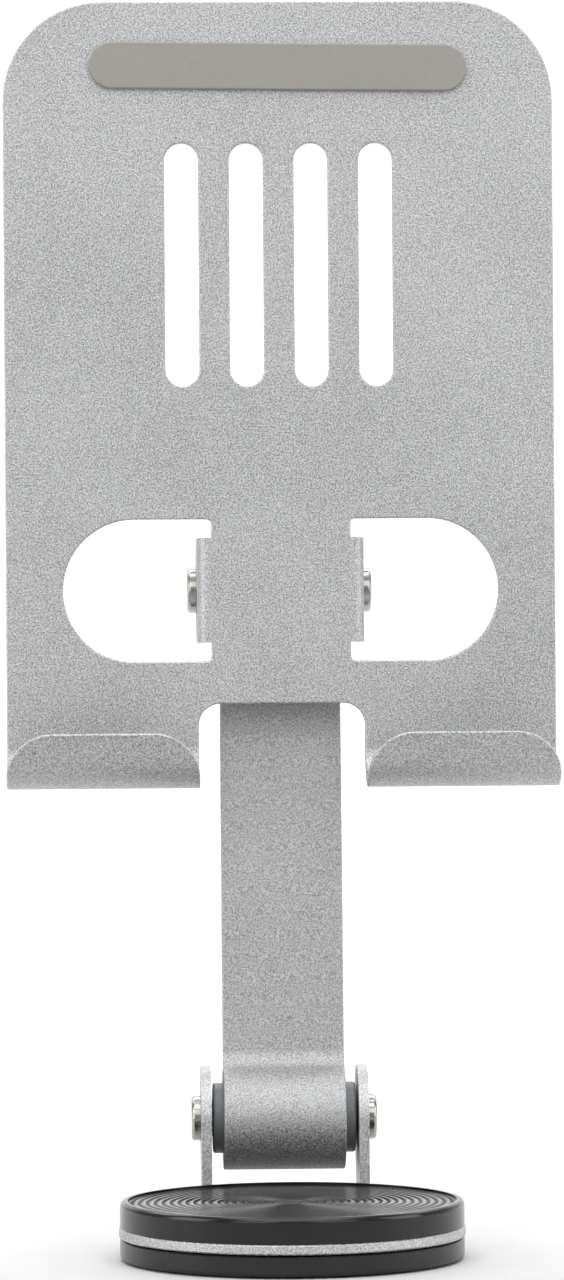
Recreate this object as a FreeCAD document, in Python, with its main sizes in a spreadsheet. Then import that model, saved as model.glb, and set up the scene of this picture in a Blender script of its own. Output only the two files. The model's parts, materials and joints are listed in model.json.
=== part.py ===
"""Folding phone stand on a turntable base.

A round two-deck base turns on its foot. Two ears at the back of the base carry the arm on a
friction hinge, and the arm's upper end carries the phone plate on a second one.

Frame: millimetres and degrees. The origin is the centre of the base's underside, +X is to the
right of someone who faces the stand, +Y is to the rear and +Z is up. Every size is a cell of the
Sizes sheet, and every sub-part is a body whose sketches, features and placement read those cells.
"""
import FreeCAD, Part
import math
import os
import re

import Sketcher

SIZES = {
    # foot: the disc that stays still
    "foot_radius": 33.3,
    "foot_pad_thick": 1.05,
    "foot_pad_gap": 0.9,
    "shell_lift": 0.4,
    "shell_height": 3.8,
    "shell_wall": 1.6,
    "shell_roof": 1.0,
    "shell_round": 0.7,
    "well_radius": 7.0,
    # swivel joint
    "thrust_thick": 0.3,
    "thrust_radius": 31.0,
    "bolt_radius": 2.0,
    "bolt_head_radius": 4.0,
    "bolt_head_thick": 1.4,
    "bolt_tail": 0.2,
    "spring_radius": 5.0,
    "spring_thick": 0.5,
    "nut_flats": 7.0,
    "nut_thick": 2.2,
    # swivel plate: one bent sheet, a disc with two ears
    "sheet_thick": 2.0,
    "bend_inner": 0.7,
    "swivel_radius": 33.5,
    "hinge_height": 23.6,
    "ear_spacing": 29.4,
    "ear_radius": 10.5,
    "ear_step": 0.0657,
    "hinge_setback":
        "=sqrt(swivel_radius ^ 2 - (ear_spacing / 2 - bend_inner) ^ 2) + ear_step + ear_radius",
    "ear_taper": 30.0,
    "relief_width": 1.2,
    "relief_depth": 1.0,
    # cover: the ringed top disc
    "cover_radius": 33.3,
    "cover_height": 5.0,
    "cover_wall": 2.2,
    "cover_roof": 1.4,
    "cover_round": 1.0,
    "rim_width": 1.5,
    "rim_depth": 0.45,
    "ring_pitch": 1.55,
    "ring_depth": 0.25,
    "ring_count": 18,
    "nut_boss_radius": 5.6,
    "screw_circle": 20.0,
    "screw_boss_radius": 2.4,
    "cover_screw_radius": 1.0,
    "cover_screw_head": 1.9,
    "cover_screw_length": 4.2,
    # friction hinges
    "barrel_radius": 2.5,
    "screw_radius": 1.5,
    "screw_reach": 20.0,
    "head_radius": 4.5,
    "head_thick": 1.9,
    "head_round": 0.7,
    "socket_flats": 2.0,
    "socket_depth": 1.1,
    "washer_radius": 3.6,
    "washer_thick": 0.36,
    "collar_radius": 7.05,
    "collar_round": 0.5,
    "bush_split": 0.4,
    # arm: one sheet with a rolled eye at each end
    "arm_width": 24.4,
    "arm_span": 106.3,
    "arm_lean": 4.0,
    "eye_radius": 10.4,
    "reverse_bend": 4.0,
    "eye_end_angle": 70.0,
    # phone plate: one bent sheet
    "plate_width": 110.0,
    "plate_rise": 117.8,
    "plate_offset": 11.0,
    "top_corner": 20.0,
    "notch_width": 33.3,
    "notch_drop": 22.7,
    "notch_corner": 4.4,
    "hook_drop": 39.4,
    "hook_inner": 6.0,
    "lip_height": 11.1,
    "lip_flare": 12.0,
    "lip_corner": 9.6,
    "window_height": 28.4,
    "window_reach": 43.6,
    "window_corner": 0.9,
    "vent_width": 6.8,
    "vent_height": 48.6,
    "vent_pitch": 12.95,
    "vent_centre": 65.1,
    "edge_round": 0.35,
    # rest strip on the plate
    "strip_length": 75.5,
    "strip_width": 9.3,
    "strip_thick": 1.2,
    "strip_drop": 13.15,
    "strip_skew": 0.6,
    "strip_round": 0.35,
    # clearances
    "face_gap": 0.02,
    "seat_gap": 0.1,
    "running_gap": 0.05,
}

# places that follow from the sizes, as expressions
SHELL_TOP = "(shell_lift + shell_height)"
SWIVEL_BASE = f"({SHELL_TOP} + thrust_thick)"
SWIVEL_TOP = f"({SWIVEL_BASE} + sheet_thick)"
COVER_TOP = f"({SWIVEL_TOP} + cover_height)"
BOLT_TOP = f"({SWIVEL_TOP} + nut_thick + bolt_tail)"
RECESS_FLOOR = f"({COVER_TOP} - rim_depth)"
CAVITY_ROOF = f"({RECESS_FLOOR} - cover_roof)"
ROOF_UNDERSIDE = f"({SHELL_TOP} - shell_roof)"
EAR_INNER = "(ear_spacing / 2)"
EAR_OUTER = "(ear_spacing / 2 + sheet_thick)"
FOLD_LINE = "(ear_spacing / 2 - bend_inner)"
BEND_OUTER = "(bend_inner + sheet_thick)"
COLLAR_END = "(ear_spacing / 2 - washer_thick - 2 * face_gap)"
EYE_BORE = "(eye_radius - sheet_thick)"
PLATE_FACE = "(plate_offset + sheet_thick)"
HOOK_OUTER = "(hook_inner + sheet_thick)"
HOOK_CENTRE = f"(hook_drop - {HOOK_OUTER})"
LIP_TOP = "(hook_drop - lip_height)"
LIP_ROUND = "min(lip_corner; lip_height - sheet_thick - seat_gap)"
SINK_DEPTH = "(cover_screw_head - cover_screw_radius + seat_gap / 2)"
UPPER_BACK = "(hinge_setback + arm_span * sin(arm_lean))"
UPPER_LEVEL = "(hinge_height + arm_span * cos(arm_lean))"

doc = FreeCAD.newDocument("PhoneStand")
sheet = doc.addObject("Spreadsheet::Sheet", "Sizes")


def fill_sheet():
    """Write each size into its own named cell."""
    for row, (name, size) in enumerate(SIZES.items(), start=1):
        sheet.set(f"A{row}", name)
        sheet.set(f"B{row}", str(size))
        sheet.setAlias(f"B{row}", name)
    doc.recompute()


def bound(text):
    """Point each size named in an expression at its cell."""
    return re.sub(r"\b[a-z]+(?:_[a-z]+)+\b", lambda name: "Sizes." + name.group(), text)


def value(text):
    """Return an expression's value as a plain number."""
    result = sheet.evalExpression(bound(text))
    return float(getattr(result, "Value", result))


def drive(item, **properties):
    """Bind an object's properties to expressions."""
    for name, text in properties.items():
        item.setExpression(name, bound(text))
    return item


# ---------------------------------------------------------------- bodies and sketches


def new_body(label, across="0", back="0", up="0", turn="0", axis=(1, 0, 0)):
    """Start a sub-part at a place given by expressions, turned about one axis."""
    body = doc.addObject("PartDesign::Body", label)
    body.Label = label
    body.Placement = FreeCAD.Placement(FreeCAD.Vector(), FreeCAD.Rotation(FreeCAD.Vector(*axis), 1))
    places = {"Base.x": across, "Base.y": back, "Base.z": up, "Rotation.Angle": turn}
    for name, text in places.items():
        body.setExpression(f"Placement.{name}", bound(text))
    return body


def new_sketch(body, plane, offset="0"):
    """Attach a sketch to one of the body's own origin planes, moved along the plane's normal."""
    sketch = body.newObject("Sketcher::SketchObject", body.Label + "_sketch")
    support = next(item for item in body.Origin.OriginFeatures if item.Role == plane)
    sketch.AttachmentSupport = [(support, "")]
    sketch.MapMode = "FlatFace"
    sketch.setExpression("AttachmentOffset.Base.z", bound(offset))
    return sketch


def name_constraint(sketch, constraint, text):
    """Add a constraint whose value is an expression."""
    index = sketch.addConstraint(constraint)
    name = f"size_{index}"
    sketch.renameConstraint(index, name)
    sketch.setExpression(f"Constraints.{name}", bound(text))


def pin_point(sketch, geometry, point, across, up):
    """Place one sketch point by its two distances from the origin."""
    for kind, text in (("DistanceX", across), ("DistanceY", up)):
        constraint = Sketcher.Constraint(kind, -1, 1, geometry, point, value(text))
        name_constraint(sketch, constraint, text)


def arc_between(start, end, radius, left):
    """Return the short arc from start to end that turns left or right."""
    chord = end - start
    rise = math.sqrt(max(radius ** 2 - chord.Length ** 2 / 4, 0.0))
    normal = FreeCAD.Vector(-chord.y, chord.x, 0).normalize()
    centre = (start + end) / 2 + normal * (rise if left else -rise)
    first, last = (start, end) if left else (end, start)
    angles = [math.atan2(point.y - centre.y, point.x - centre.x) for point in (first, last)]
    if angles[1] < angles[0]:
        angles[1] += 2 * math.pi
    circle = Part.Circle(centre, FreeCAD.Vector(0, 0, 1), radius)
    return Part.ArcOfCircle(circle, *angles)


def draw_outline(sketch, corners):
    """Draw a closed outline.

    Each corner is (across, up), or (across, up, turn, radius) when the side that leaves it is an
    arc that turns "left" or "right". Quarter turns or less keep an arc well placed.
    """
    places = [FreeCAD.Vector(value(corner[0]), value(corner[1]), 0) for corner in corners]
    ends = []
    for index, corner in enumerate(corners):
        start = places[index]
        end = places[(index + 1) % len(places)]
        if len(corner) == 2:
            side = sketch.addGeometry(Part.LineSegment(start, end))
            ends.append((side, 1, 2))
            continue
        left = corner[2] == "left"
        side = sketch.addGeometry(arc_between(start, end, value(corner[3]), left))
        name_constraint(sketch, Sketcher.Constraint("Radius", side, value(corner[3])), corner[3])
        ends.append((side, 1, 2) if left else (side, 2, 1))
    for index, (side, start, _) in enumerate(ends):
        before, _, finish = ends[index - 1]
        sketch.addConstraint(Sketcher.Constraint("Coincident", before, finish, side, start))
        pin_point(sketch, side, start, corners[index][0], corners[index][1])


def draw_circle(sketch, radius, across="0", up="0"):
    """Draw a circle by its radius and centre."""
    centre = FreeCAD.Vector(value(across), value(up), 0)
    circle = Part.Circle(centre, FreeCAD.Vector(0, 0, 1), value(radius))
    index = sketch.addGeometry(circle)
    name_constraint(sketch, Sketcher.Constraint("Radius", index, value(radius)), radius)
    pin_point(sketch, index, 3, across, up)


def box_corners(left, right, low, high):
    """Return the corners of a rectangle."""
    return [(left, low), (right, low), (right, high), (left, high)]


def obround_corners(across, up, half_width, half_height):
    """Return an upright slot with round ends, each end two quarter turns."""
    straight = f"({half_height} - {half_width})"
    top = f"{up} + {straight}"
    foot = f"{up} - {straight}"
    right = f"{across} + {half_width}"
    left = f"{across} - {half_width}"
    return [
        (right, foot),
        (right, top, "left", half_width),
        (across, f"{up} + {half_height}", "left", half_width),
        (left, top),
        (left, foot, "left", half_width),
        (across, f"{up} - {half_height}", "left", half_width),
    ]


def hexagon_corners(flats):
    """Return the corners of a hexagon with two flats level."""
    corner = f"({flats} / sqrt(3))"
    return [(f"{corner} * cos({60 * turn})", f"{corner} * sin({60 * turn})") for turn in range(6)]


# ---------------------------------------------------------------- features


def feature(kind, body, sketch, **expressions):
    """Add a sketch-based feature, bind its sizes and bring the body up to date."""
    item = body.newObject("PartDesign::" + kind, f"{body.Label}_{kind.lower()}")
    item.Profile = sketch
    drive(item, **expressions)
    return item


def pad(body, sketch, length, symmetric=False):
    """Pad a sketch along its normal, or to both sides of it."""
    item = feature("Pad", body, sketch, Length=length)
    item.SideType = "Symmetric" if symmetric else "One side"
    doc.recompute()
    return item


def pocket(body, sketch, length=None, reverse=False):
    """Cut a sketch: to a depth against its normal, or right through to both sides."""
    before = body.Shape.Volume
    item = feature("Pocket", body, sketch)
    if length is None:
        item.Type = "ThroughAll"
        item.SideType = "Symmetric"
    else:
        drive(item, Length=length)
        item.Reversed = reverse
    doc.recompute()
    if body.Shape.Volume > before - 1e-3:
        raise RuntimeError(item.Label + " removes nothing")
    return item


def revolve(body, corners):
    """Turn a half section, given as (radius, height) corners, about the body's Z axis."""
    sketch = new_sketch(body, "XZ_Plane")
    draw_outline(sketch, corners)
    item = feature("Revolution", body, sketch)
    item.ReferenceAxis = (sketch, ["V_Axis"])
    item.Angle = 360
    doc.recompute()
    return item


def around(body, original, sketch, count):
    """Repeat a feature evenly about the sketch's normal."""
    item = body.newObject("PartDesign::PolarPattern", body.Label + "_pattern")
    item.Originals = [original]
    item.Axis = (sketch, ["N_Axis"])
    item.Angle = 360
    item.Occurrences = count
    body.Tip = item
    doc.recompute()
    return item


def dress(kind, body, chosen, size):
    """Fillet or chamfer the edges of the body's shape that a test chooses."""
    base = body.Tip
    edges = base.Shape.Edges
    names = [f"Edge{number}" for number, edge in enumerate(edges, start=1) if chosen(edge)]
    if not names:
        raise RuntimeError(f"{body.Label} has no edge for its {kind.lower()}")
    item = body.newObject("PartDesign::" + kind, f"{body.Label}_{kind.lower()}")
    item.Base = (base, names)
    drive(item, **{"Radius" if kind == "Fillet" else "Size": size})
    doc.recompute()
    return item


def near(first, second):
    """Say whether two lengths are the same place."""
    return abs(first - second) < 1e-4


def runs_along(axis, **places):
    """Choose straight edges that run along one axis at the places given for the others."""
    goals = {name: [abs(value(text)) for text in texts] for name, texts in places.items()}

    def chosen(edge):
        if len(edge.Vertexes) != 2 or edge.Curve.TypeId != "Part::GeomLine":
            return False
        span = edge.Vertexes[1].Point - edge.Vertexes[0].Point
        if abs(abs(getattr(span, axis)) - span.Length) > 1e-6:
            return False
        middle = edge.CenterOfMass
        return all(
            any(near(abs(getattr(middle, name)), goal) for goal in wanted)
            for name, wanted in goals.items()
        )

    return chosen


def circle_at(radius, height):
    """Choose the full circles of one radius at one height."""
    goal = value(radius)
    level = value(height)

    def chosen(edge):
        is_circle = edge.Curve.TypeId == "Part::GeomCircle"
        return is_circle and near(edge.Curve.Radius, goal) and near(edge.CenterOfMass.z, level)

    return chosen


def face_normal(face, point):
    """Return a face's outward normal at the point of it nearest to a place."""
    u, v = face.Surface.parameter(point)
    return face.normalAt(u, v)


def is_small_circle(edge, radius):
    """Say whether an edge belongs to a round hole of at most one radius."""
    return edge.Curve.TypeId == "Part::GeomCircle" and edge.Closed and edge.Curve.Radius < radius


def beside_fold(within):
    """Return a test for the places on a sheet's ears, from the bend relief to the outer face."""
    inner = value(f"{FOLD_LINE} - relief_depth")
    outer = value(EAR_OUTER)
    return lambda place: inner - 0.01 < abs(place.x) < outer + 0.01 and within(place)


def sharp_edges(body, skipped=lambda place: False):
    """Choose the outward edges where two faces meet sharply, but no small rim or skipped place."""
    shape = body.Tip.Shape
    limit = value("ear_radius / 2")
    sharp = set()
    for edge in shape.Edges:
        faces = shape.ancestorsOfType(edge, Part.Face)
        if len(faces) != 2 or is_small_circle(edge, limit) or skipped(edge.CenterOfMass):
            continue
        middle = edge.valueAt((edge.FirstParameter + edge.LastParameter) / 2)
        normals = [face_normal(face, middle) for face in faces]
        beside = middle + (normals[0] - normals[1]) * 0.02
        if normals[0].dot(normals[1]) < 0.6 and not shape.isInside(beside, 1e-6, True):
            sharp.add(edge.hashCode())
    return lambda edge: edge.hashCode() in sharp


# ---------------------------------------------------------------- foot


def make_foot_pad():
    """Soft pad that the stand rests on."""
    body = new_body("foot_pad")
    radius = "foot_radius - shell_wall - foot_pad_gap"
    sketch = new_sketch(body, "XY_Plane")
    draw_circle(sketch, radius)
    pad(body, sketch, "foot_pad_thick")
    dress("Fillet", body, circle_at(radius, "0"), "foot_pad_thick / 4")


def make_foot_weight():
    """Steel ring that loads the foot, with a well for the swivel bolt's head."""
    body = new_body("foot_weight")
    low = "(foot_pad_thick + face_gap)"
    sketch = new_sketch(body, "XY_Plane", low)
    draw_circle(sketch, "foot_radius - shell_wall - seat_gap")
    draw_circle(sketch, "well_radius")
    pad(body, sketch, f"{ROOF_UNDERSIDE} - {low} - face_gap")


def make_foot_shell():
    """Lower disc: a shallow cup, open underneath."""
    body = new_body("foot_shell")
    bore = "bolt_radius + running_gap"
    inside = "foot_radius - shell_wall"
    revolve(body, [
        (bore, ROOF_UNDERSIDE),
        (inside, ROOF_UNDERSIDE),
        (inside, "shell_lift"),
        ("foot_radius - shell_round", "shell_lift", "left", "shell_round"),
        ("foot_radius", "shell_lift + shell_round"),
        ("foot_radius", SHELL_TOP),
        (bore, SHELL_TOP),
    ])
    dress("Chamfer", body, circle_at("foot_radius", SHELL_TOP), "shell_round / 3")


def make_thrust_washer():
    """Low-friction ring that the turntable slides on."""
    body = new_body("thrust_washer")
    sketch = new_sketch(body, "XY_Plane", f"{SHELL_TOP} + face_gap")
    draw_circle(sketch, "thrust_radius")
    draw_circle(sketch, "bolt_radius + seat_gap")
    pad(body, sketch, "thrust_thick - 2 * face_gap")


def make_swivel_spring():
    """Spring washer, shown pressed flat, that gives the turntable its drag."""
    body = new_body("swivel_spring")
    sketch = new_sketch(body, "XY_Plane", f"{ROOF_UNDERSIDE} - spring_thick + face_gap / 2")
    draw_circle(sketch, "spring_radius")
    draw_circle(sketch, "bolt_radius + seat_gap")
    pad(body, sketch, "spring_thick - face_gap")


# ---------------------------------------------------------------- turntable


def make_swivel_bolt():
    """Bolt from under the foot up into the cover's nut."""
    body = new_body("swivel_bolt")
    head_top = f"({ROOF_UNDERSIDE} - spring_thick - face_gap)"
    revolve(body, [
        ("0", f"{head_top} - bolt_head_thick"),
        ("bolt_head_radius", f"{head_top} - bolt_head_thick"),
        ("bolt_head_radius", head_top),
        ("bolt_radius", head_top),
        ("bolt_radius", BOLT_TOP),
        ("0", BOLT_TOP),
    ])
    sketch = new_sketch(body, "XY_Plane", f"{head_top} - bolt_head_thick")
    draw_outline(sketch, hexagon_corners("socket_flats"))
    pocket(body, sketch, "bolt_head_thick / 2", reverse=True)


def make_swivel_nut():
    """Hexagon nut held in the cover's boss."""
    body = new_body("swivel_nut")
    sketch = new_sketch(body, "XY_Plane", f"{SWIVEL_TOP} + face_gap")
    draw_outline(sketch, hexagon_corners("nut_flats"))
    draw_circle(sketch, "bolt_radius + face_gap")
    pad(body, sketch, "nut_thick")


def swivel_ear_outline():
    """Return the ear's outline: round at the top, its rear edge leaning forward to the base."""
    centre = "hinge_setback"
    level = "hinge_height"
    base = f"({SWIVEL_BASE} + {BEND_OUTER})"
    drop = f"({level} - {base})"
    rear = f"{centre} + (ear_radius - {drop} * sin(ear_taper)) / cos(ear_taper)"
    return [
        (f"{centre} - ear_radius", base),
        (rear, base),
        (f"{centre} + ear_radius * cos(ear_taper)", f"{level} - ear_radius * sin(ear_taper)",
         "left", "ear_radius"),
        (f"{centre} + ear_radius * cos(30)", f"{level} + ear_radius * sin(30)",
         "left", "ear_radius"),
        (centre, f"{level} + ear_radius", "left", "ear_radius"),
        (f"{centre} - ear_radius", level),
    ], rear


def make_swivel_plate():
    """Bent sheet: a disc, a short tongue behind it and two ears that carry the arm's pin."""
    body = new_body("swivel_plate")
    ear, rear = swivel_ear_outline()
    front = "(hinge_setback - ear_radius)"

    disc = new_sketch(body, "XY_Plane", SWIVEL_BASE)
    draw_circle(disc, "swivel_radius")
    pad(body, disc, "sheet_thick")

    tongue = new_sketch(body, "XY_Plane", SWIVEL_BASE)
    draw_outline(tongue, box_corners(f"-{FOLD_LINE}", FOLD_LINE, "swivel_radius / 2", rear))
    pad(body, tongue, "sheet_thick")

    relief = new_sketch(body, "XY_Plane", SWIVEL_BASE)
    end = f"({FOLD_LINE} - relief_depth)"
    half = "(relief_width / 2)"
    for side, turn in (("", "left"), ("-", "right")):
        draw_outline(relief, [
            (f"{side}swivel_radius", front),
            (f"{side}({end} + {half})", front, turn, half),
            (f"{side}{end}", f"{front} - {half}", turn, half),
            (f"{side}({end} + {half})", f"{front} - relief_width"),
            (f"{side}swivel_radius", f"{front} - relief_width"),
        ])
    pocket(body, relief)

    bends = new_sketch(body, "XZ_Plane", f"-{front}")
    for side in ("", "-"):
        draw_outline(bends, upright_bend(side))
    item = pad(body, bends, f"{rear} - {front}")
    item.Reversed = True
    doc.recompute()

    for side in ("", "-"):
        plane = new_sketch(body, "YZ_Plane", f"{side}{EAR_INNER}")
        draw_outline(plane, ear)
        item = pad(body, plane, "sheet_thick")
        item.Reversed = side == "-"
        doc.recompute()

    pin = new_sketch(body, "YZ_Plane")
    draw_circle(pin, "barrel_radius + running_gap", "hinge_setback", "hinge_height")
    pocket(body, pin)

    bolt = new_sketch(body, "XY_Plane")
    draw_circle(bolt, "bolt_radius + seat_gap")
    pocket(body, bolt)

    screw = new_sketch(body, "XY_Plane")
    draw_circle(screw, "cover_screw_radius + seat_gap", "0", "-screw_circle")
    hole = pocket(body, screw)
    around(body, hole, screw, 3)
    rim = circle_at("cover_screw_radius + seat_gap", SWIVEL_BASE)
    dress("Chamfer", body, rim, SINK_DEPTH)
    limit = value(f"{front} - relief_width")
    ears = beside_fold(lambda place: place.y > limit - 0.01)
    dress("Fillet", body, sharp_edges(body, ears), "edge_round")


def upright_bend(side):
    """Return the section of the quarter bend that turns the flat sheet up into one ear."""
    turn = "left" if side == "" else "right"
    back = "right" if side == "" else "left"
    fold = f"{side}{FOLD_LINE}"
    bend_top = f"{SWIVEL_BASE} + {BEND_OUTER}"
    return [
        (fold, SWIVEL_BASE, turn, BEND_OUTER),
        (f"{side}{EAR_OUTER}", bend_top),
        (f"{side}{EAR_INNER}", bend_top, back, "bend_inner"),
        (fold, SWIVEL_TOP),
    ]


def ring_corners():
    """Return the ringed floor of the cover's recess, from the rim to the middle."""
    outermost = "(cover_radius - rim_width - ring_pitch / 2)"
    corners = []
    for ring in range(int(SIZES["ring_count"])):
        centre = f"({outermost} - {ring} * ring_pitch)"
        corners += [
            (f"{centre} + ring_pitch * 0.38", RECESS_FLOOR),
            (centre, f"{RECESS_FLOOR} - ring_depth"),
            (f"{centre} - ring_pitch * 0.38", RECESS_FLOOR),
        ]
    return corners


def make_top_cover():
    """Top disc: a shell with a raised rim round a floor of fine rings."""
    body = new_body("top_cover")
    cavity = "(cover_radius - cover_wall)"
    rim_inner = "(cover_radius - rim_width)"
    revolve(body, [
        ("0", SWIVEL_TOP),
        ("nut_boss_radius", SWIVEL_TOP),
        ("nut_boss_radius", CAVITY_ROOF),
        (cavity, CAVITY_ROOF),
        (cavity, SWIVEL_TOP),
        ("cover_radius", SWIVEL_TOP),
        ("cover_radius", f"{COVER_TOP} - cover_round", "left", "cover_round"),
        ("cover_radius - cover_round", COVER_TOP),
        (rim_inner, COVER_TOP),
        (rim_inner, RECESS_FLOOR),
        *ring_corners(),
        ("0", RECESS_FLOOR),
    ])
    nut = new_sketch(body, "XY_Plane", SWIVEL_TOP)
    draw_outline(nut, hexagon_corners("(nut_flats + 2 * seat_gap)"))
    pocket(body, nut, "nut_thick + 2 * face_gap", reverse=True)
    bolt = new_sketch(body, "XY_Plane", SWIVEL_TOP)
    draw_circle(bolt, "bolt_radius + seat_gap")
    pocket(body, bolt, "nut_thick + bolt_tail + seat_gap", reverse=True)
    boss = new_sketch(body, "XY_Plane", SWIVEL_TOP)
    draw_circle(boss, "screw_boss_radius", "0", "-screw_circle")
    around(body, pad(body, boss, f"{CAVITY_ROOF} - {SWIVEL_TOP}"), boss, 3)
    pilot = new_sketch(body, "XY_Plane", SWIVEL_TOP)
    draw_circle(pilot, "cover_screw_radius + face_gap", "0", "-screw_circle")
    depth = "cover_screw_length - sheet_thick + seat_gap"
    around(body, pocket(body, pilot, depth, reverse=True), pilot, 3)


def make_top_weight():
    """Steel ring inside the cover, with a hole round each screw boss."""
    body = new_body("top_weight")
    low = f"({SWIVEL_TOP} + face_gap)"
    ring = new_sketch(body, "XY_Plane", low)
    draw_circle(ring, "cover_radius - cover_wall - seat_gap")
    draw_circle(ring, "nut_boss_radius + seat_gap")
    pad(body, ring, f"{CAVITY_ROOF} - {low} - face_gap")
    boss = new_sketch(body, "XY_Plane")
    draw_circle(boss, "screw_boss_radius + seat_gap", "0", "-screw_circle")
    around(body, pocket(body, boss), boss, 3)


def make_cover_screws():
    """Three countersunk screws that hold the cover on the swivel plate, as one group."""
    screws = []
    for index in range(3):
        angle = f"({120 * index} - 90)"
        body = new_body(
            f"cover_screw_{index + 1}",
            f"screw_circle * cos({angle})",
            f"screw_circle * sin({angle})",
            f"{SWIVEL_BASE} + seat_gap / 2",
        )
        revolve(body, [
            ("0", "0"),
            ("cover_screw_head", "0"),
            ("cover_screw_radius", "cover_screw_head - cover_screw_radius"),
            ("cover_screw_radius", "cover_screw_length - seat_gap"),
            ("0", "cover_screw_length - seat_gap"),
        ])
        screws.append(body)
    group = doc.addObject("Part::Compound", "cover_screws")
    group.Links = screws
    doc.recompute()


# ---------------------------------------------------------------- friction hinges


def make_barrel(label, back, level):
    """Sleeve nut: a round head outside the left ear and a threaded sleeve through both ears."""
    body = new_body(label, "0", back, level, "-90", (0, 1, 0))
    tip = f"(face_gap - {EAR_OUTER})"
    bore = "screw_radius + face_gap"
    bore_end = f"(screw_reach - {EAR_OUTER} + seat_gap)"
    seat = f"{EAR_OUTER} + face_gap"
    top = f"{EAR_OUTER} + head_thick"
    revolve(body, [
        ("0", bore_end),
        (bore, bore_end),
        (bore, tip),
        ("barrel_radius", tip),
        ("barrel_radius", seat),
        ("head_radius", seat),
        ("head_radius", f"{top} - head_round", "left", "head_round"),
        ("head_radius - head_round", top),
        ("0", top),
    ])


def make_screw(label, back, level):
    """Screw that closes the sleeve nut from the right, with a hexagon socket."""
    body = new_body(label, "0", back, level, "90", (0, 1, 0))
    tip = f"{EAR_OUTER} - screw_reach"
    seat = f"{EAR_OUTER} + face_gap"
    top = f"{EAR_OUTER} + head_thick"
    revolve(body, [
        ("0", tip),
        ("screw_radius", tip),
        ("screw_radius", seat),
        ("head_radius", seat),
        ("head_radius", f"{top} - head_round", "left", "head_round"),
        ("head_radius - head_round", top),
        ("0", top),
    ])
    socket = new_sketch(body, "XY_Plane", top)
    draw_outline(socket, hexagon_corners("socket_flats"))
    pocket(body, socket, "socket_depth")


def make_bush(label, back, level, turn):
    """Nylon half bush: its body fills the eye and its collar stands out to the washer."""
    body = new_body(label, "0", back, level, turn, (0, 1, 0))
    bore = "barrel_radius + running_gap"
    outside = f"{EYE_BORE} - running_gap"
    revolve(body, [
        (bore, "bush_split / 2"),
        (outside, "bush_split / 2"),
        (outside, "arm_width / 2"),
        ("collar_radius", "arm_width / 2"),
        ("collar_radius", f"{COLLAR_END} - collar_round", "left", "collar_round"),
        ("collar_radius - collar_round", COLLAR_END),
        (bore, COLLAR_END),
    ])


def make_washer(label, back, level, turn):
    """Thin black washer between a bush collar and an ear."""
    body = new_body(label, "0", back, level, turn, (0, 1, 0))
    sketch = new_sketch(body, "XY_Plane", f"{COLLAR_END} + face_gap")
    draw_circle(sketch, "washer_radius")
    draw_circle(sketch, "barrel_radius + seat_gap")
    pad(body, sketch, "washer_thick")


def make_hinges():
    """Both friction hinges have the same pieces."""
    for hinge, back, level in (
        ("lower", "hinge_setback", "hinge_height"),
        ("upper", UPPER_BACK, UPPER_LEVEL),
    ):
        make_barrel(f"{hinge}_pin_sleeve", back, level)
        make_screw(f"{hinge}_pin_screw", back, level)
        for side, turn in (("left", "-90"), ("right", "90")):
            make_bush(f"{hinge}_bush_{side}", back, level, turn)
            make_washer(f"{hinge}_washer_{side}", back, level, turn)


# ---------------------------------------------------------------- arm


def eye_corners():
    """Return the arm's lower end, from the front of the sheet round the eye to its back."""
    half = "(sheet_thick / 2)"
    hub = f"({half} + reverse_bend)"
    reach = "(eye_radius + reverse_bend)"
    start = f"sqrt({reach} ^ 2 - {hub} ^ 2)"
    outer = "eye_radius"
    inner = EYE_BORE

    def on_bend(radius):
        return f"-{hub} * {radius} / {reach}", f"{start} * {radius} / {reach}"

    def at_end(radius):
        return f"{radius} * cos(eye_end_angle)", f"{radius} * sin(eye_end_angle)"

    return [
        (f"-{half}", start, "right", "reverse_bend"),
        (*on_bend(outer), "left", outer),
        (f"-{outer}", "0", "left", outer),
        ("0", f"-{outer}", "left", outer),
        (outer, "0", "left", outer),
        at_end(outer),
        (*at_end(inner), "right", inner),
        (inner, "0", "right", inner),
        ("0", f"-{inner}", "right", inner),
        (f"-{inner}", "0", "right", inner),
        (*on_bend(inner), "left", "reverse_bend + sheet_thick"),
        (half, start),
    ]


def turned_over(corners, span):
    """Return corners mirrored end for end, in the order that carries the outline on."""
    result = []
    for index in reversed(range(len(corners))):
        across, up = corners[index][:2]
        arc = corners[index - 1][2:] if index else ()
        result.append((across, f"{span} - {up}", *arc))
    return result


def make_arm():
    """Bent sheet strip with a rolled eye at each end."""
    body = new_body("arm", "0", "hinge_setback", "hinge_height", "-arm_lean")
    sketch = new_sketch(body, "YZ_Plane")
    lower = eye_corners()
    draw_outline(sketch, lower + turned_over(lower, "arm_span"))
    pad(body, sketch, "arm_width", symmetric=True)
    dress("Fillet", body, sharp_edges(body), "edge_round")


# ---------------------------------------------------------------- phone plate


def hook_side(radius):
    """Return where one side of the lip leaves the hook's bend, and where it ends at the top."""
    level = f"-{HOOK_CENTRE}"
    across = f"-({PLATE_FACE} + hook_inner) - {radius} * cos(lip_flare)"
    rise = f"({HOOK_CENTRE} - {LIP_TOP} + {radius} * sin(lip_flare))"
    return (across, f"{level} - {radius} * sin(lip_flare)"), (
        f"{across} - {rise} * tan(lip_flare)", f"-{LIP_TOP}")


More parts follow.
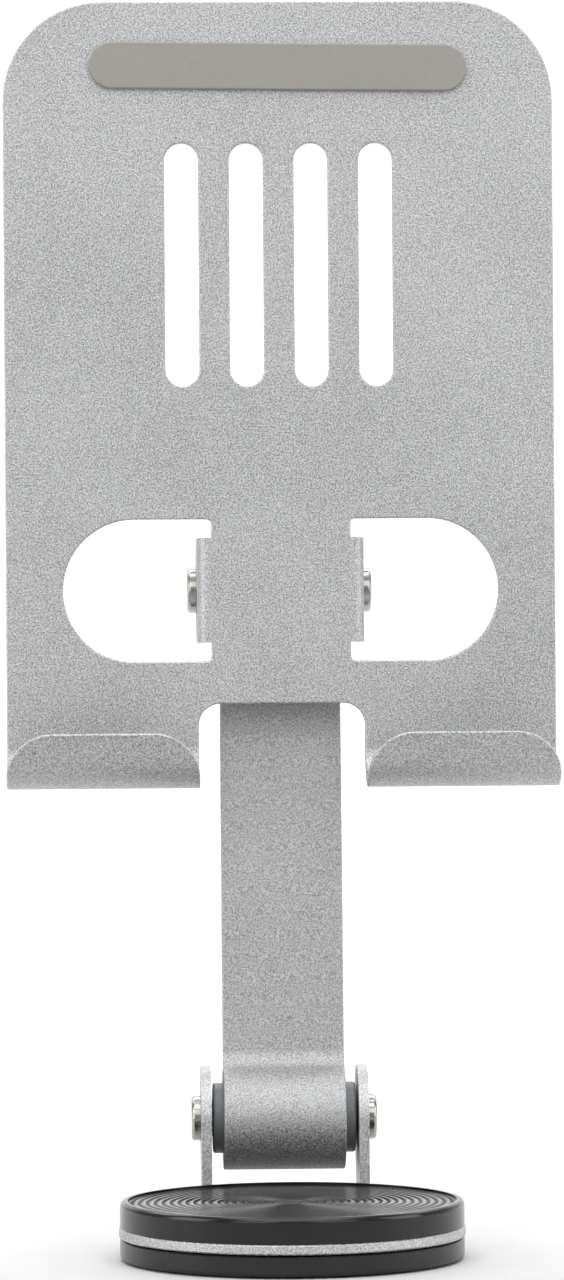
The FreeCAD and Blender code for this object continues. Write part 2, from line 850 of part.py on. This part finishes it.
def make_hooked_sheet(body):
    """Pad the plate's side profile: a flat sheet that turns up into a flared hook at its foot."""
    front = f"-{PLATE_FACE}"
    rear = "-plate_offset"
    centre = f"-({PLATE_FACE} + hook_inner)"
    level = f"-{HOOK_CENTRE}"
    inner_foot, inner_top = hook_side("hook_inner")
    outer_foot, outer_top = hook_side(HOOK_OUTER)
    sketch = new_sketch(body, "YZ_Plane")
    draw_outline(sketch, [
        (rear, "plate_rise"),
        (front, "plate_rise"),
        (front, level, "right", "hook_inner"),
        (centre, f"{level} - hook_inner", "right", "hook_inner"),
        inner_foot,
        inner_top,
        outer_top,
        (*outer_foot, "left", HOOK_OUTER),
        (centre, "-hook_drop", "left", HOOK_OUTER),
        (rear, level),
    ])
    pad(body, sketch, "plate_width", symmetric=True)


def cut_notch(body):
    """Cut the gap that parts the two hooks and lets the arm through."""
    sketch = new_sketch(body, "XZ_Plane")
    side = "notch_width / 2"
    draw_outline(sketch, box_corners(f"-{side}", side, "-2 * hook_drop", "-notch_drop"))
    pocket(body, sketch)


def cut_lip_corners(body):
    """Round the upper corners of both lips."""
    sketch = new_sketch(body, "XZ_Plane", f"{PLATE_FACE} + hook_inner")
    sides = (("plate_width / 2", 1), ("-notch_width / 2", 1),
             ("-plate_width / 2", -1), ("notch_width / 2", -1))
    for edge, sign in sides:
        turn = "left" if sign > 0 else "right"
        beyond = f"{edge} + {sign} * sheet_thick"
        draw_outline(sketch, [
            (edge, f"-{LIP_TOP} - {LIP_ROUND}", turn, LIP_ROUND),
            (f"{edge} - {sign} * {LIP_ROUND}", f"-{LIP_TOP}"),
            (f"{edge} - {sign} * {LIP_ROUND}", f"-{LIP_TOP} + sheet_thick"),
            (beyond, f"-{LIP_TOP} + sheet_thick"),
            (beyond, f"-{LIP_TOP} - {LIP_ROUND}"),
        ])
    pocket(body, sketch, f"2 * {HOOK_OUTER}", reverse=True)


def cut_windows(body):
    """Cut the two D-shaped windows that the ears were bent out of."""
    sketch = new_sketch(body, "XZ_Plane")
    half = "window_height / 2"
    for sign, turn in (("", "left"), ("-", "right")):
        draw_outline(sketch, [
            (f"{sign}{FOLD_LINE}", f"-{half}"),
            (f"{sign}(window_reach - {half})", f"-{half}", turn, half),
            (f"{sign}window_reach", "0", turn, half),
            (f"{sign}(window_reach - {half})", half),
            (f"{sign}{FOLD_LINE}", half),
        ])
    pocket(body, sketch)


def cut_vents(body):
    """Cut the row of upright slots."""
    sketch = new_sketch(body, "XZ_Plane")
    for place in (-1.5, -0.5, 0.5, 1.5):
        across = f"{place} * vent_pitch"
        draw_outline(sketch, obround_corners(
            across, "vent_centre", "(vent_width / 2)", "(vent_height / 2)"))
    pocket(body, sketch)


def add_plate_ears(body):
    """Bend two ears back from the web between the windows, round behind the pin."""
    sketch = new_sketch(body, "XY_Plane")
    bend_end = f"{BEND_OUTER} - {PLATE_FACE}"
    for sign, turn, back in (("", "left", "right"), ("-", "right", "left")):
        draw_outline(sketch, [
            (f"{sign}{FOLD_LINE}", f"-{PLATE_FACE}", turn, BEND_OUTER),
            (f"{sign}{EAR_OUTER}", bend_end),
            (f"{sign}{EAR_OUTER}", "ear_radius"),
            (f"{sign}{EAR_INNER}", "ear_radius"),
            (f"{sign}{EAR_INNER}", bend_end, back, "bend_inner"),
            (f"{sign}{FOLD_LINE}", "-plate_offset"),
        ])
    pad(body, sketch, "2 * ear_radius", symmetric=True)
    trim = new_sketch(body, "YZ_Plane")
    draw_outline(trim, [
        ("0", "-ear_radius", "left", "ear_radius"),
        ("ear_radius", "0", "left", "ear_radius"),
        ("0", "ear_radius"),
        ("0", "2 * ear_radius"),
        ("2 * ear_radius", "2 * ear_radius"),
        ("2 * ear_radius", "-2 * ear_radius"),
        ("0", "-2 * ear_radius"),
    ])
    pocket(body, trim)
    pin = new_sketch(body, "YZ_Plane")
    draw_circle(pin, "barrel_radius + running_gap")
    pocket(body, pin)


def make_phone_plate():
    """Bent sheet: the back rest, its two hooks and its two hinge ears."""
    body = new_body("phone_plate", "0", UPPER_BACK, UPPER_LEVEL)
    make_hooked_sheet(body)
    cut_notch(body)
    cut_lip_corners(body)
    cut_windows(body)
    cut_vents(body)
    half_height = "window_height / 2"
    for places, radius in (
        ({"x": ("plate_width / 2",), "z": ("plate_rise",)}, "top_corner"),
        ({"x": ("notch_width / 2",), "z": ("notch_drop",)}, "notch_corner"),
        ({"x": (FOLD_LINE,), "z": (half_height,)}, "window_corner"),
    ):
        dress("Fillet", body, runs_along("y", **places), radius)
    add_plate_ears(body)
    limit = value("ear_radius")
    ears = beside_fold(lambda place: abs(place.z) < limit + 0.01)
    dress("Fillet", body, sharp_edges(body, ears), "edge_round")


def make_rest_strip():
    """Soft strip across the top of the plate, stuck on a little out of level."""
    body = new_body(
        "rest_strip", "0", f"{UPPER_BACK} - {PLATE_FACE}",
        f"{UPPER_LEVEL} + plate_rise - strip_drop", "90 + strip_skew", (0, 1, 0),
    )
    sketch = new_sketch(body, "XZ_Plane")
    draw_outline(sketch, obround_corners("0", "0", "(strip_width / 2)", "(strip_length / 2)"))
    pad(body, sketch, "strip_thick")
    level = value("-strip_thick")
    dress("Fillet", body, lambda edge: near(edge.BoundBox.YMin, level)
          and near(edge.BoundBox.YMax, level), "strip_round")


# ---------------------------------------------------------------- check and write


NODES = (
    "foot_pad", "foot_weight", "foot_shell", "thrust_washer", "swivel_spring",
    "swivel_bolt", "swivel_nut", "swivel_plate", "top_cover", "top_weight", "cover_screws",
    "lower_pin_sleeve", "lower_pin_screw", "lower_washer_left", "lower_washer_right",
    "lower_bush_left", "lower_bush_right", "arm", "upper_bush_left", "upper_bush_right",
    "upper_pin_sleeve", "upper_pin_screw", "upper_washer_left", "upper_washer_right",
    "phone_plate", "rest_strip",
)


def check_document():
    """Stop if any object failed or any sub-part has no good solid."""
    failed = [item.Label for item in doc.Objects if {"Invalid", "Error"} & set(item.State)]
    if failed:
        raise RuntimeError("failed: " + ", ".join(failed))
    for name in NODES:
        shape = doc.getObject(name).Shape
        if shape.isNull() or not shape.isValid() or not shape.Solids:
            raise RuntimeError(name + " has no good solid")


def write_nodes():
    """Write each sub-part to its own file and print its size."""
    os.makedirs("parts", exist_ok=True)
    for name in NODES:
        shape = doc.getObject(name).Shape
        shape.exportStep(f"parts/{name}.step")
        box = shape.BoundBox
        print(f"{name:20s} {len(shape.Solids)} {shape.Volume:10.1f} mm3  "
              f"x {box.XMin:7.2f} {box.XMax:7.2f}  y {box.YMin:7.2f} {box.YMax:7.2f}  "
              f"z {box.ZMin:7.2f} {box.ZMax:7.2f}")


fill_sheet()
make_foot_pad()
make_foot_weight()
make_foot_shell()
make_thrust_washer()
make_swivel_spring()
make_swivel_bolt()
make_swivel_nut()
make_swivel_plate()
make_top_cover()
make_top_weight()
make_cover_screws()
make_hinges()
make_arm()
make_phone_plate()
make_rest_strip()
check_document()
write_nodes()
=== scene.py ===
"""Looks of a folding phone stand: blasted metal sheet parts, a black swivel base and polished hinge pins.

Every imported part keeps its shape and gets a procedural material. Lengths are metres: +X to the
right of the front view, +Y to the back, +Z up. The phone side faces -Y.
"""

import json
import math

import bmesh
import bpy
from mathutils import Matrix, Vector


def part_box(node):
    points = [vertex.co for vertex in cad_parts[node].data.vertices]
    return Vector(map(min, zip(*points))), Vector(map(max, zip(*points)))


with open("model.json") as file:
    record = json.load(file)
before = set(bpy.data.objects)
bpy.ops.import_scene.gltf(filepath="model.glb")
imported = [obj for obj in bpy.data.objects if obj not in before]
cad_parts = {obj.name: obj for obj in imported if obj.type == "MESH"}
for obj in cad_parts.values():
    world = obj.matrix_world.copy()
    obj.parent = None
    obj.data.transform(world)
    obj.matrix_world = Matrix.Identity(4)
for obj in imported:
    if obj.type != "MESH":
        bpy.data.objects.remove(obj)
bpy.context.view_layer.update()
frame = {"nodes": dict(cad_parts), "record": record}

# ---------------------------------------------------------------- node helpers

MIX_DARK, MIX_LIGHT, MIX_COLOUR = 6, 7, 2       # colour sockets of a Mix node
NOISE_LOW, NOISE_HIGH = 0.3, 0.7                # a noise value seldom leaves this range


def new_tree(name):
    """Return a new material with an empty Principled shader wired to its output."""
    material = bpy.data.materials.new(name)
    material.use_nodes = True
    tree = material.node_tree
    tree.nodes.clear()
    output = tree.nodes.new("ShaderNodeOutputMaterial")
    shader = tree.nodes.new("ShaderNodeBsdfPrincipled")
    tree.links.new(shader.outputs["BSDF"], output.inputs["Surface"])
    return material, tree, shader


def object_point(tree, stretch=(1, 1, 1)):
    """Return the point on the part in its own metres, optionally stretched along an axis."""
    source = tree.nodes.new("ShaderNodeTexCoord").outputs["Object"]
    if stretch == (1, 1, 1):
        return source
    mapping = tree.nodes.new("ShaderNodeMapping")
    mapping.inputs["Scale"].default_value = stretch
    tree.links.new(source, mapping.inputs["Vector"])
    return mapping.outputs["Vector"]


def noise(tree, point, scale, detail=2.0, rough=0.5):
    """Return a noise value with about `scale` features to the metre."""
    node = tree.nodes.new("ShaderNodeTexNoise")
    node.inputs["Scale"].default_value = scale
    node.inputs["Detail"].default_value = detail
    node.inputs["Roughness"].default_value = rough
    tree.links.new(point, node.inputs["Vector"])
    return node.outputs["Fac"]


def spread(tree, value, low, high, start=NOISE_LOW, end=NOISE_HIGH):
    """Map a value from start..end to low..high."""
    node = tree.nodes.new("ShaderNodeMapRange")
    node.inputs["From Min"].default_value = start
    node.inputs["From Max"].default_value = end
    node.inputs["To Min"].default_value = low
    node.inputs["To Max"].default_value = high
    tree.links.new(value, node.inputs["Value"])
    return node.outputs["Result"]


def calculate(tree, kind, first, second):
    """Combine two values, each a socket or a number."""
    node = tree.nodes.new("ShaderNodeMath")
    node.operation = kind
    for socket, item in zip(node.inputs, (first, second)):
        if isinstance(item, (int, float)):
            socket.default_value = item
        else:
            tree.links.new(item, socket)
    return node.outputs[0]


def tint(tree, value, dark, light):
    """Return a colour between dark and light."""
    node = tree.nodes.new("ShaderNodeMix")
    node.data_type = "RGBA"
    node.inputs[MIX_DARK].default_value = (*dark, 1)
    node.inputs[MIX_LIGHT].default_value = (*light, 1)
    tree.links.new(value, node.inputs[0])
    return node.outputs[MIX_COLOUR]


def bump(tree, shader, height, depth, strength):
    """Raise the surface by up to `depth` metres."""
    node = tree.nodes.new("ShaderNodeBump")
    node.inputs["Strength"].default_value = strength
    node.inputs["Distance"].default_value = depth
    tree.links.new(height, node.inputs["Height"])
    tree.links.new(node.outputs["Normal"], shader.inputs["Normal"])


# ---------------------------------------------------------------- materials

GRAIN_SCALE = 3300          # blasted pits to the metre
SPECK_SCALE = 5600
GRAIN_LOW, GRAIN_HIGH = 0.34, 0.66
PATCH_SCALE = 38            # slow clouds in the anodised colour
PIT_DEPTH = 0.00006

MOTTLE_SCALE = 55           # slow clouds in the plastic's gloss
COVER_GRAIN = 1100
RING_PITCH = 0.00155        # from one groove of the cover to the next
COVER_RIM = 0.0015          # plain rim outside the outermost groove
RIM_FADE = RING_PITCH / 10
GROOVE_EDGE, GROOVE_MIDDLE = 0.15, 0.45
RING_DEPTH = 0.00012

MARK_SCALE = 1500           # turning marks
TARNISH_SCALE = 160
MARK_DEPTH = 0.000012


def blasted_metal(name, dark, light, rough):
    """Bead-blasted, clear anodised sheet: fine sparkling grain under slow cloudy patches."""
    material, tree, shader = new_tree(name)
    point = object_point(tree)
    grain = noise(tree, point, GRAIN_SCALE, 1.0)
    speck = noise(tree, point, SPECK_SCALE, 1.0)
    cloud = noise(tree, point, PATCH_SCALE, 3.0, 0.55)
    mixed = calculate(tree, "ADD", spread(tree, grain, 0.0, 0.68, GRAIN_LOW, GRAIN_HIGH),
                      spread(tree, speck, 0.0, 0.24))
    mixed = calculate(tree, "ADD", mixed, spread(tree, cloud, 0.0, 0.08))
    tree.links.new(tint(tree, mixed, dark, light), shader.inputs["Base Color"])
    sheen = calculate(tree, "ADD", spread(tree, grain, rough - 0.1, rough + 0.1),
                      spread(tree, cloud, -0.02, 0.02))
    tree.links.new(sheen, shader.inputs["Roughness"])
    shader.inputs["Metallic"].default_value = 1.0
    height = calculate(tree, "ADD", grain, calculate(tree, "MULTIPLY", speck, 0.4))
    bump(tree, shader, height, PIT_DEPTH, 0.55)
    return material


def satin_plastic(name, dark, light, rough, grain_scale, depth):
    """Moulded plastic or rubber with a fine eroded texture and slightly uneven gloss."""
    material, tree, shader = new_tree(name)
    point = object_point(tree)
    grain = noise(tree, point, grain_scale, 3.0, 0.6)
    cloud = noise(tree, point, MOTTLE_SCALE, 3.0, 0.6)
    mixed = calculate(tree, "ADD", spread(tree, grain, 0.0, 0.6), spread(tree, cloud, 0.0, 0.4))
    tree.links.new(tint(tree, mixed, dark, light), shader.inputs["Base Color"])
    gloss = calculate(tree, "ADD", spread(tree, cloud, rough - 0.05, rough + 0.06),
                      spread(tree, grain, -0.03, 0.03))
    tree.links.new(gloss, shader.inputs["Roughness"])
    bump(tree, shader, grain, depth, 0.6)
    return material


def ring_grooves(tree, point):
    """Return 1 in the middle of each groove of the cover's rings, and 0 on the lands and the rim."""
    parts = tree.nodes.new("ShaderNodeSeparateXYZ")
    tree.links.new(point, parts.inputs["Vector"])
    across = calculate(tree, "POWER", parts.outputs["X"], 2.0)
    along = calculate(tree, "POWER", parts.outputs["Y"], 2.0)
    radius = calculate(tree, "SQRT", calculate(tree, "ADD", across, along), 0.0)
    low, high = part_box("top_cover")
    outermost = (high.x - low.x) / 2 - COVER_RIM
    inward = calculate(tree, "SUBTRACT", outermost, radius)
    phase = calculate(tree, "PINGPONG", calculate(tree, "DIVIDE", inward, RING_PITCH), 0.5)
    inside = spread(tree, inward, 0.0, 1.0, 0.0, RIM_FADE)
    depth = spread(tree, phase, 0.0, 1.0, GROOVE_EDGE, GROOVE_MIDDLE)
    return calculate(tree, "MULTIPLY", depth, inside)


def ringed_plastic(name, dark, light, rough):
    """Satin plastic whose turned grooves are duller than the lands between them."""
    material, tree, shader = new_tree(name)
    point = object_point(tree)
    groove = ring_grooves(tree, point)
    grain = noise(tree, point, COVER_GRAIN, 3.0, 0.6)
    cloud = noise(tree, point, MOTTLE_SCALE, 3.0, 0.6)
    mixed = calculate(tree, "ADD", spread(tree, grain, 0.0, 0.6), spread(tree, cloud, 0.0, 0.4))
    tree.links.new(tint(tree, mixed, dark, light), shader.inputs["Base Color"])
    gloss = calculate(tree, "ADD", spread(tree, cloud, rough - 0.04, rough + 0.05),
                      calculate(tree, "MULTIPLY", groove, 0.32))
    tree.links.new(gloss, shader.inputs["Roughness"])
    shader.inputs["Specular IOR Level"].default_value = 0.47
    height = calculate(tree, "SUBTRACT", calculate(tree, "MULTIPLY", grain, 0.12), groove)
    bump(tree, shader, height, RING_DEPTH, 0.7)
    return material


def turned_metal(name, dark, light, rough, stretch):
    """Turned or polished metal with hair-fine marks across the stretched axis."""
    material, tree, shader = new_tree(name)
    lines = noise(tree, object_point(tree, stretch), MARK_SCALE, 2.0, 0.6)
    cloud = noise(tree, object_point(tree), TARNISH_SCALE, 3.0, 0.6)
    mixed = calculate(tree, "ADD", spread(tree, lines, 0.0, 0.5), spread(tree, cloud, 0.0, 0.5))
    tree.links.new(tint(tree, mixed, dark, light), shader.inputs["Base Color"])
    gloss = calculate(tree, "ADD", spread(tree, cloud, rough - 0.03, rough + 0.06),
                      spread(tree, lines, -0.02, 0.03))
    tree.links.new(gloss, shader.inputs["Roughness"])
    shader.inputs["Metallic"].default_value = 1.0
    bump(tree, shader, lines, MARK_DEPTH, 0.4)
    return material


# Colours and gloss by material slot
BLACK, SOFT_BLACK = (0.003, 0.003, 0.003), (0.007, 0.0068, 0.0065)
ALONG_X, ALONG_Z = (0.15, 1, 1), (1, 1, 0.15)
MATERIALS = {
    "sheet_metal_plate": blasted_metal(
        "plate_blasted", (0.222, 0.224, 0.227), (0.77, 0.775, 0.78), 0.54),
    # painted shade: the arm gets the plate's blasted finish with a darker light tone, standing in for the
    # shade under the plate
    "sheet_metal_arm": blasted_metal(
        "arm_blasted_painted_shade", (0.22, 0.222, 0.225), (0.7, 0.705, 0.71), 0.62),
    "sheet_metal_base": blasted_metal(
        "swivel_blasted", (0.27, 0.27, 0.272), (0.78, 0.78, 0.78), 0.55),
    "cover_black": ringed_plastic(
        "cover_satin", BLACK, SOFT_BLACK, 0.17),
    "shell_black": satin_plastic(
        "shell_satin", BLACK, SOFT_BLACK, 0.22, 900, 0.00001),
    "washer_black": satin_plastic(
        "washer_matte", (0.008, 0.008, 0.008), (0.02, 0.02, 0.02), 0.5, 1400, 0.00003),
    "pad_rubber": satin_plastic(
        "pad_foam", (0.012, 0.012, 0.012), (0.03, 0.03, 0.03), 0.75, 700, 0.00012),
    "bush_grey": satin_plastic(
        "bush_nylon", (0.17, 0.182, 0.192), (0.25, 0.265, 0.28), 0.42, 800, 0.00004),
    "strip_grey": satin_plastic(
        "strip_silicone", (0.272, 0.26, 0.239), (0.31, 0.297, 0.273), 0.62, 1500, 0.00003),
    "pin_steel": turned_metal(
        "pin_nickel", (0.33, 0.315, 0.295), (0.53, 0.51, 0.48), 0.16, ALONG_X),
    "bolt_steel": turned_metal(
        "bolt_zinc", (0.42, 0.42, 0.43), (0.6, 0.6, 0.61), 0.3, ALONG_Z),
    "weight_steel": turned_metal(
        "weight_turned", (0.3, 0.3, 0.3), (0.45, 0.45, 0.44), 0.35, ALONG_Z),
    "spring_steel": turned_metal(
        "spring_tempered", (0.3, 0.3, 0.31), (0.42, 0.42, 0.43), 0.3, ALONG_Z),
}


def finish_nodes():
    """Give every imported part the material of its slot."""
    for part in frame["record"]["subparts"]:
        mesh_object = frame["nodes"][part["node"]]
        for place in mesh_object.material_slots:
            place.material = MATERIALS[part["material_slot"]]


# ---------------------------------------------------------------- stage

HALF_WIDTH = 9.0
FRONT_EDGE = -9.0
BEND_START = 4.4
BEND_RADIUS = 1.2
BEND_STEPS = 24
BACKDROP_TOP = 5.5
FLOOR_SHADE_FULL = -0.25          # the floor is greyest in front of this: painted shade in front of the stand
FLOOR_SHADE_GONE = 0.2            # and palest behind this


def stage_profile():
    """Return the stage's outline seen from the side, from its front edge to its top."""
    profile = [(FRONT_EDGE, 0.0), (-0.5, 0.0), (0.4, 0.0), (BEND_START, 0.0)]
    for step in range(1, BEND_STEPS + 1):
        angle = math.pi / 2 * step / BEND_STEPS
        profile.append((BEND_START + BEND_RADIUS * math.sin(angle), BEND_RADIUS * (1 - math.cos(angle))))
    profile.append((BEND_START + BEND_RADIUS, BACKDROP_TOP))
    return profile


def make_stage():
    """Pale floor that sweeps up into a backdrop, with painted shade greying the floor in front of the
    stand.
    """
    sweep = bmesh.new()
    rows = [[sweep.verts.new((side, y, z)) for side in (-HALF_WIDTH, HALF_WIDTH)]
            for y, z in stage_profile()]
    for low, high in zip(rows, rows[1:]):
        face = sweep.faces.new((low[0], low[1], high[1], high[0]))
        face.smooth = True
    mesh = bpy.data.meshes.new("stage_sweep")
    sweep.to_mesh(mesh)
    sweep.free()
    stage = bpy.data.objects.new("stage_sweep", mesh)
    bpy.context.scene.collection.objects.link(stage)
    material, tree, shader = new_tree("stage_painted_shade")
    parts = tree.nodes.new("ShaderNodeSeparateXYZ")
    tree.links.new(object_point(tree), parts.inputs["Vector"])
    # painted shade: the floor greys from behind the stand towards its front
    shade = spread(tree, parts.outputs["Y"], 0.0, 1.0, FLOOR_SHADE_FULL, FLOOR_SHADE_GONE)
    grey = tint(tree, shade, (0.33, 0.33, 0.33), (0.86, 0.86, 0.86))
    tree.links.new(grey, shader.inputs["Base Color"])
    shader.inputs["Roughness"].default_value = 0.9
    mesh.materials.append(material)


# ---------------------------------------------------------------- lights

STAND_MIDDLE = (0, 0.03, 0.12)
WARM = (1.0, 0.98, 0.95)
WORLD_COLOUR = (0.97, 0.985, 1.0, 1)
WORLD_STRENGTH = 0.4


def soft_light(name, place, size, radiance, aim=STAND_MIDDLE, colour=(1, 1, 1)):
    """Rectangular soft light of a given brightness, unseen itself."""
    data = bpy.data.lights.new(name, "AREA")
    data.shape = "RECTANGLE"
    data.size, data.size_y = size
    data.energy = radiance * math.pi * data.size * data.size_y
    data.color = colour
    light = bpy.data.objects.new(name, data)
    bpy.context.scene.collection.objects.link(light)
    light.location = place
    light.visible_camera = False
    light.rotation_mode = "QUATERNION"
    light.rotation_quaternion = (Vector(aim) - Vector(place)).to_track_quat("-Z", "Y")


def make_lights():
    """Soft light from the front, above and both sides, and one light on the backdrop."""
    soft_light("front_left", (-0.68, -1.25, 0.72), (0.75, 1.3), 1.4)
    soft_light("front_right", (0.68, -1.25, 0.72), (0.75, 1.3), 1.4)
    soft_light("front_top", (0, -1.15, 0.95), (0.9, 0.7), 1.3)
    soft_light("overhead", (0, -0.2, 1.3), (1.2, 1.1), 2.5)
    soft_light("left_side", (-1.05, -0.25, 0.4), (0.6, 0.9), 2.8, colour=WARM)
    soft_light("right_side", (1.1, -0.2, 0.4), (0.6, 0.9), 2.5)
    soft_light("backdrop_wash", (0, 3.2, 3.4), (8.0, 3.2), 2.6, aim=(0, 4.0, 0))
    world = bpy.data.worlds.new("studio")
    world.use_nodes = True
    background = world.node_tree.nodes["Background"]
    background.inputs["Color"].default_value = WORLD_COLOUR
    background.inputs["Strength"].default_value = WORLD_STRENGTH
    bpy.context.scene.world = world


# ---------------------------------------------------------------- camera

CAMERA_TURN = math.radians(2.1)
CAMERA_ROLL = math.radians(0.4)
CAMERA_DISTANCE = 1.050     # from the lower hinge
CAMERA_HEIGHT = 0.1196
CAMERA_ASIDE = 0.0003
FOCAL_PIXELS = 5220
LONG_SIDE_PIXELS = 1280
SENSOR_WIDTH = 36.0         # millimetres, along the picture's long side


def make_camera():
    """Level camera in front of the stand, turned a little to its right."""
    ahead = Vector((math.sin(CAMERA_TURN), math.cos(CAMERA_TURN), 0))
    right = Vector((math.cos(CAMERA_TURN), -math.sin(CAMERA_TURN), 0))
    low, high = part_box("lower_bush_left")
    pivot = Vector((0, (low.y + high.y) / 2, CAMERA_HEIGHT))
    data = bpy.data.cameras.new("camera")
    data.sensor_fit = "AUTO"
    data.sensor_width = SENSOR_WIDTH
    data.lens = FOCAL_PIXELS / LONG_SIDE_PIXELS * SENSOR_WIDTH
    data.clip_start, data.clip_end = 0.01, 20
    camera = bpy.data.objects.new("camera", data)
    bpy.context.scene.collection.objects.link(camera)
    camera.location = pivot - ahead * CAMERA_DISTANCE + right * CAMERA_ASIDE
    camera.rotation_mode = "QUATERNION"
    level = ahead.to_track_quat("-Z", "Y")
    camera.rotation_quaternion = level @ Matrix.Rotation(-CAMERA_ROLL, 3, "Z").to_quaternion()
    bpy.context.scene.camera = camera


finish_nodes()
make_stage()
make_lights()
make_camera()
bpy.context.scene.view_settings.view_transform = "Standard"
bpy.context.scene.view_settings.look = "None"
